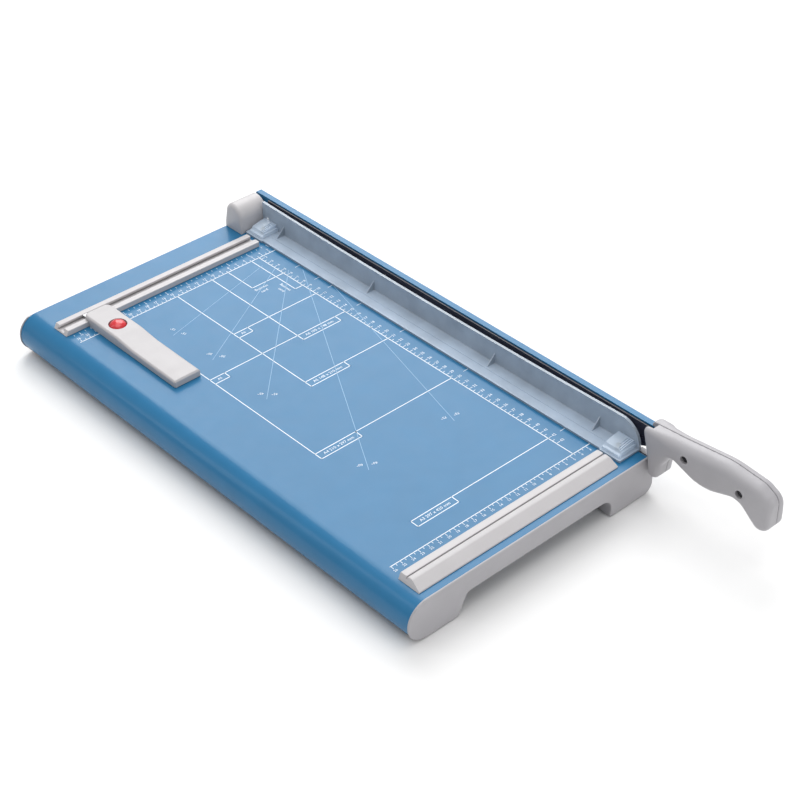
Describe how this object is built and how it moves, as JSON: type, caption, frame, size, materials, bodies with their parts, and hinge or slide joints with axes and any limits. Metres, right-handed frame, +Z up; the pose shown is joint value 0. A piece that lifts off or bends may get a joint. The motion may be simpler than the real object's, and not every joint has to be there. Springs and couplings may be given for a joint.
{
  "type": "guillotine paper cutter",
  "caption": "Desktop guillotine paper cutter with a folded sheet table, end caps, hinged blade arm with a moulded handle, clear clamp bar and sliding backstop.",
  "frame": {"origin": "centre of the bounding box in X and Y, on the plane its rubber feet stand on", "axes": "+Z up, -Y towards the handle and the user, +X towards the blade side, so the cut runs along Y"},
  "size_m": [0.3024, 0.6888, 0.0829],
  "materials": {
    "table_blue": "satin powder coat with white printed scales",
    "arm_blue": "satin powder coat",
    "cap_grey": "fine grained",
    "handle_grey": "fine grained",
    "rail_light": "satin",
    "backstop_light": "satin",
    "cover_light": "satin",
    "foot_rubber": "moulded",
    "bush_black": "moulded",
    "bright_steel": "ground",
    "blade_dark": "dark lacquer with a ground edge",
    "black_steel": "black oxide",
    "bush_bronze": "sintered",
    "clamp_clear": "clear, faintly blue",
    "button_red": "gloss",
    "zinc_steel": "zinc plated"
  },
  "bodies": {
    "table": {"table_top": "table_blue", "front_end_cap": "cap_grey", "rear_end_cap": "cap_grey", "rubber_foot_1": "foot_rubber", "rubber_foot_2": "foot_rubber", "rubber_foot_3": "foot_rubber", "rubber_foot_4": "foot_rubber", "cross_brace_front": "zinc_steel", "cross_brace_rear": "zinc_steel", "rear_rail": "rail_light", "front_rail": "rail_light", "rail_screw_1": "zinc_steel", "rail_screw_2": "zinc_steel", "rail_screw_3": "zinc_steel", "rail_screw_4": "zinc_steel", "lower_blade": "bright_steel", "lower_blade_screw_1": "zinc_steel", "lower_blade_screw_2": "zinc_steel", "lower_blade_screw_3": "zinc_steel", "lower_blade_screw_4": "zinc_steel", "lower_blade_screw_5": "zinc_steel", "hinge_cover": "cover_light", "hinge_bracket": "zinc_steel", "bracket_screw_1": "zinc_steel", "bracket_screw_2": "zinc_steel", "pivot_bolt": "bright_steel", "pivot_nut": "zinc_steel", "pivot_spring_washer": "zinc_steel", "clamp_bush_1": "bush_black", "clamp_bush_2": "bush_black", "clamp_spring_1": "bright_steel", "clamp_spring_2": "bright_steel"},
    "arm": {"cutting_arm": "arm_blue", "upper_blade": "blade_dark", "blade_screw_1": "black_steel", "blade_screw_2": "black_steel", "blade_screw_3": "black_steel", "blade_screw_4": "black_steel", "blade_screw_5": "black_steel", "blade_nut_1": "zinc_steel", "blade_nut_2": "zinc_steel", "blade_nut_3": "zinc_steel", "blade_nut_4": "zinc_steel", "blade_nut_5": "zinc_steel", "handle_shell_left": "handle_grey", "handle_shell_right": "handle_grey", "handle_screw_1": "black_steel", "handle_screw_2": "black_steel", "pivot_bush": "bush_bronze"},
    "clamp": {"clamp_bar": "clamp_clear", "clamp_block_front": "clamp_clear", "clamp_block_rear": "clamp_clear", "clamp_pin_1": "black_steel", "clamp_pin_2": "black_steel"},
    "backstop": {"backstop_arm": "backstop_light", "backstop_base": "backstop_light", "backstop_slider": "zinc_steel", "backstop_spring": "bright_steel"},
    "button": {"backstop_button": "button_red"}
  },
  "joints": [
    {"name": "arm_hinge", "type": "hinge", "parent": "table", "child": "arm", "pos_m": [0.1404, 0.3318, 0.0562], "axis": [-1, 0, 0], "range_deg": [0, 65]},
    {"name": "clamp_lift", "type": "slide", "parent": "table", "child": "clamp", "axis": [0, 0, 1], "range_m": [0, 0.008], "deforming": ["clamp_spring_1", "clamp_spring_2"]},
    {"name": "backstop_slide", "type": "slide", "parent": "table", "child": "backstop", "axis": [1, 0, 0], "range_m": [-0.022, 0.17]},
    {"name": "button_press", "type": "slide", "parent": "backstop", "child": "button", "axis": [0, 0, -1], "range_m": [0, 0.0015], "stiffness_N_per_m": 400, "deforming": ["backstop_spring"]}
  ],
  "couplings": [
    {"joint": "clamp_lift", "follows": "arm_hinge", "m_per_rad": 0.007}
  ]
}
